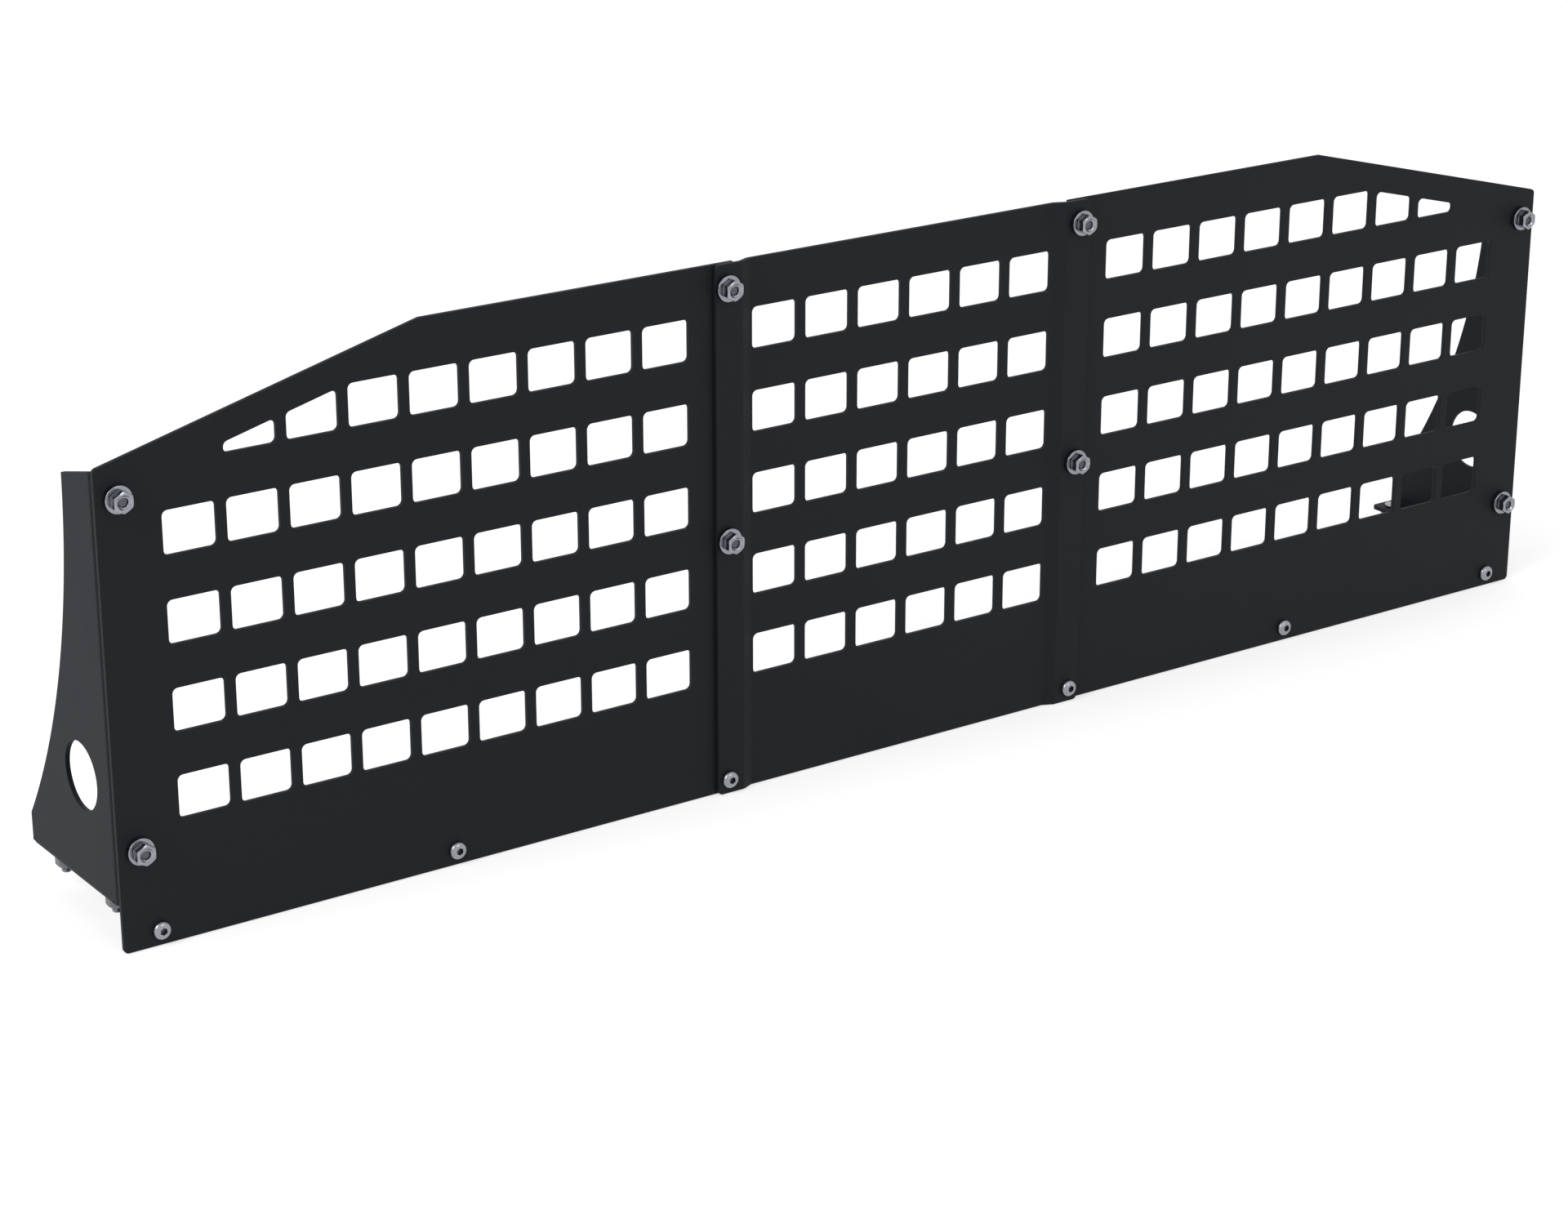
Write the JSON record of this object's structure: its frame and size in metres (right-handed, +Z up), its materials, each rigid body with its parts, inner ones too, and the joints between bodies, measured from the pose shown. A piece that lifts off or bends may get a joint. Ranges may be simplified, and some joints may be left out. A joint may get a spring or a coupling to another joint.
{
  "type": "headache rack",
  "caption": "Wide black steel headache rack: panels cut with webbing windows, bolted in line on folded end brackets whose feet stand on a pickup's bed rails behind the cab.",
  "frame": {"origin": "middle of the rack's length, on the rear face of the panels, level with the underside of the feet", "axes": "+X along the rack to the right as seen from the front, +Y from the front face to the rear, +Z up"},
  "size_m": [1.0606, 0.1284, 0.3302],
  "materials": {
    "panel_coat": "fine satin black powder coat on steel sheet",
    "bracket_coat": "fine satin black powder coat on folded steel sheet",
    "bolt_zinc": "bright zinc plate on hex bolts and button-head screws",
    "nut_zinc": "bright zinc plate on hex nuts",
    "washer_zinc": "polished bright zinc plate on thick flat washers"
  },
  "bodies": {
    "root": {"center_panel": "panel_coat", "left_bracket": "bracket_coat", "left_end_lower_bolt": "bolt_zinc", "left_end_lower_nut": "nut_zinc", "left_end_lower_washer": "washer_zinc", "left_end_upper_bolt": "bolt_zinc", "left_end_upper_nut": "nut_zinc", "left_end_upper_washer": "washer_zinc", "left_front_foot_bolt": "bolt_zinc", "left_front_foot_lock_nut": "nut_zinc", "left_front_foot_washer": "washer_zinc", "left_inner_lower_nut": "nut_zinc", "left_inner_lower_screw": "bolt_zinc", "left_joint_middle_bolt": "bolt_zinc", "left_joint_middle_nut": "nut_zinc", "left_joint_middle_washer": "washer_zinc", "left_joint_upper_bolt": "bolt_zinc", "left_joint_upper_nut": "nut_zinc", "left_joint_upper_washer": "washer_zinc", "left_middle_lower_nut": "nut_zinc", "left_middle_lower_screw": "bolt_zinc", "left_outer_lower_nut": "nut_zinc", "left_outer_lower_screw": "bolt_zinc", "left_panel": "panel_coat", "left_rear_foot_bolt": "bolt_zinc", "left_rear_foot_lock_nut": "nut_zinc", "left_rear_foot_washer": "washer_zinc", "right_bracket": "bracket_coat", "right_end_lower_bolt": "bolt_zinc", "right_end_lower_nut": "nut_zinc", "right_end_lower_washer": "washer_zinc", "right_end_upper_bolt": "bolt_zinc", "right_end_upper_nut": "nut_zinc", "right_end_upper_washer": "washer_zinc", "right_front_foot_bolt": "bolt_zinc", "right_front_foot_lock_nut": "nut_zinc", "right_front_foot_washer": "washer_zinc", "right_inner_lower_nut": "nut_zinc", "right_inner_lower_screw": "bolt_zinc", "right_joint_middle_bolt": "bolt_zinc", "right_joint_middle_nut": "nut_zinc", "right_joint_middle_washer": "washer_zinc", "right_joint_upper_bolt": "bolt_zinc", "right_joint_upper_nut": "nut_zinc", "right_joint_upper_washer": "washer_zinc", "right_middle_lower_nut": "nut_zinc", "right_middle_lower_screw": "bolt_zinc", "right_outer_lower_nut": "nut_zinc", "right_outer_lower_screw": "bolt_zinc", "right_panel": "panel_coat", "right_rear_foot_bolt": "bolt_zinc", "right_rear_foot_lock_nut": "nut_zinc", "right_rear_foot_washer": "washer_zinc"}
  },
  "joints": []
}
